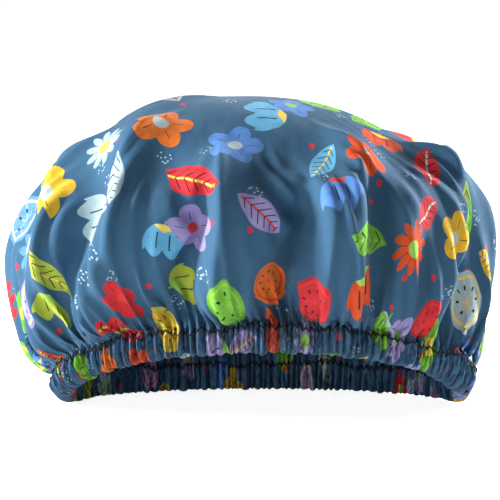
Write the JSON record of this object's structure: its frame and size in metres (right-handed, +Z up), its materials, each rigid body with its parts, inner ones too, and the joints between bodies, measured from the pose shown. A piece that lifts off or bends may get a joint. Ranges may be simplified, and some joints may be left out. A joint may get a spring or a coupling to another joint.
{
  "type": "shower cap",
  "caption": "Gathered fabric shower cap with a blousy dome, waterproof lining and an elastic rim under a zigzag seam, standing on its rim; the front of the rim springs open.",
  "frame": {"origin": "on the table, under the middle of the cap's bounding box", "axes": "+Z up from the rim to the crown, +X along the cap's width to the right as seen from the front, -Y towards the front of the cap"},
  "size_m": [0.2794, 0.1776, 0.1767],
  "materials": {
    "printed_cloth": "printed cotton satin, blue ground with a scattered bright print",
    "lining_film": "soft waterproof film, slightly translucent white",
    "elastic_weave": "woven elastic, off-white",
    "seam_thread": "black sewing thread"
  },
  "bodies": {
    "back": {"printed_shell_back": "printed_cloth", "waterproof_lining_back": "lining_film", "rim_elastic_back": "elastic_weave", "zigzag_thread_back": "seam_thread", "elastic_tack": "seam_thread"},
    "front": {"printed_shell_front": "printed_cloth", "waterproof_lining_front": "lining_film", "rim_elastic_front": "elastic_weave", "zigzag_thread_front": "seam_thread"}
  },
  "joints": [
    {"name": "rim_opening", "type": "hinge", "parent": "back", "child": "front", "pos_m": [0, -0.02679, 0.172], "axis": [-1, 0, 0], "range_deg": [0, 28], "stiffness_Nm_per_rad": 0.6, "springref_deg": -5.73}
  ]
}
